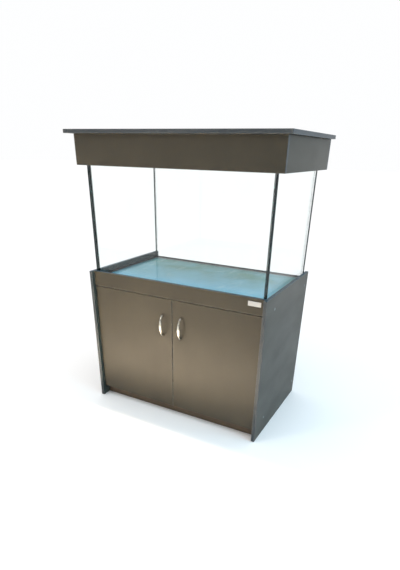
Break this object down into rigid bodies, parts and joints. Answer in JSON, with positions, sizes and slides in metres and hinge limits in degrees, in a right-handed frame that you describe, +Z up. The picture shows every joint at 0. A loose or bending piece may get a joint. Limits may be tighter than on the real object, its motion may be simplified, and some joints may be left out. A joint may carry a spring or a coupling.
{
  "type": "aquarium on stand",
  "caption": "Glass fish tank on a graphite board cabinet with inset doors and bow handles, under a lift-off board hood with a hinged lid.",
  "frame": {"origin": "on the floor under the middle of the whole object's box", "axes": "+Z up, +Y to the rear, +X to the right as seen from the front"},
  "size_m": [1.038, 0.646, 1.3339],
  "materials": {
    "graphite_board": "satin",
    "carcass_board": "satin",
    "pane": "polished",
    "silicone": "satin",
    "black_plastic": "matte",
    "black_rubber": "matte",
    "cap_plastic": "satin",
    "label_plastic": "gloss",
    "polystyrene": "matte",
    "zinc_steel": "satin",
    "bright_chrome": "polished",
    "lamp_white": "gloss",
    "lamp_glass": "satin"
  },
  "bodies": {
    "stand": {"left_side_panel": "graphite_board", "right_side_panel": "graphite_board", "front_fascia": "graphite_board", "label_plate": "label_plastic", "deck_board": "carcass_board", "floor_board": "carcass_board", "plinth": "graphite_board", "back_panel": "carcass_board", "centre_divider": "carcass_board", "door_bumpers": "silicone", "carcass_screws": "zinc_steel", "screw_caps": "cap_plastic", "floor_glides": "black_plastic", "hose_grommet": "black_plastic", "polystyrene_mat": "polystyrene", "tank_bottom_glass": "pane", "tank_front_glass": "pane", "tank_back_glass": "pane", "tank_left_glass": "pane", "tank_right_glass": "pane", "silicone_corner_seams": "silicone", "silicone_bottom_seam": "silicone", "front_brace_glass": "pane", "back_brace_glass": "pane", "cross_brace_glass": "pane", "silicone_brace_pads": "silicone", "left_hinge_plates": "zinc_steel", "right_hinge_plates": "zinc_steel", "left_hinge_arms": "zinc_steel", "right_hinge_arms": "zinc_steel", "door_hinge_pins": "bright_chrome", "hinge_screws": "zinc_steel"},
    "left_door": {"left_door_board": "graphite_board", "left_hinge_cups": "zinc_steel", "left_handle": "bright_chrome", "left_door_screws": "zinc_steel"},
    "right_door": {"right_door_board": "graphite_board", "right_hinge_cups": "zinc_steel", "right_handle": "bright_chrome", "right_door_screws": "zinc_steel"},
    "hood": {"hood_front_board": "graphite_board", "hood_back_board": "graphite_board", "hood_left_board": "graphite_board", "hood_right_board": "graphite_board", "hood_rear_rail": "graphite_board", "hood_rest_cleats": "carcass_board", "hood_corner_blocks": "carcass_board", "cable_grommet": "black_rubber", "rail_hinge_leaves": "zinc_steel", "lid_hinge_pins": "bright_chrome", "rail_screws": "zinc_steel"},
    "lid": {"lid_board": "graphite_board", "lid_hinge_leaves": "zinc_steel", "lid_hinge_screws": "zinc_steel", "lamp_batten": "lamp_white", "lamp_holders": "lamp_white", "lamp_tube": "lamp_glass"}
  },
  "joints": [
    {"name": "left_door_hinge", "type": "hinge", "parent": "stand", "child": "left_door", "pos_m": [-0.4345, -0.2685, 0.3475], "axis": [0, 0, -1], "range_deg": [0, 105]},
    {"name": "right_door_hinge", "type": "hinge", "parent": "stand", "child": "right_door", "pos_m": [0.4345, -0.2685, 0.3475], "axis": [0, 0, 1], "range_deg": [0, 105]},
    {"name": "hood_lift", "type": "slide", "parent": "stand", "child": "hood", "axis": [0, 0, 1], "range_m": [0, 0.15]},
    {"name": "lid_hinge", "type": "hinge", "parent": "hood", "child": "lid", "pos_m": [0, 0.289, 1.331], "axis": [-1, 0, 0], "range_deg": [0, 100]}
  ]
}
